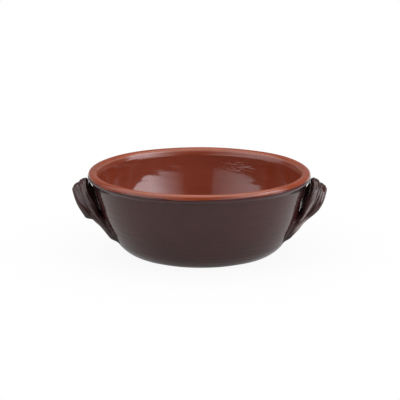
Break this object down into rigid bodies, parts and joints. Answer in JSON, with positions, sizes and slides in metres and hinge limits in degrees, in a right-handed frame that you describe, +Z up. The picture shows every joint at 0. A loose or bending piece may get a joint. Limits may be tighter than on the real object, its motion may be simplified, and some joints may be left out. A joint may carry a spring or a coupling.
{
  "type": "baking dish",
  "caption": "Deep round terracotta baking dish with a thick rolled rim, clear glaze inside, dark brown glaze outside, and ribbed ear handles on its sides for lifting.",
  "frame": {"origin": "centre of the flat base, on the table", "axes": "+Z up, +X out through the right handle, -Y towards the viewer of the picture"},
  "size_m": [0.2762, 0.24, 0.09],
  "materials": {
    "terracotta": "fired clay with a thin clear glaze on the rim",
    "clear_glaze": "clear gloss glaze over red clay",
    "brown_glaze": "dark brown satin gloss glaze",
    "slip": "fired clay slip"
  },
  "bodies": {
    "root": {"bowl_body": "terracotta", "inner_glaze": "clear_glaze", "outer_glaze": "brown_glaze", "left_handle": "brown_glaze", "right_handle": "brown_glaze", "left_front_slip": "slip", "left_rear_slip": "slip", "right_front_slip": "slip", "right_rear_slip": "slip"}
  },
  "joints": []
}
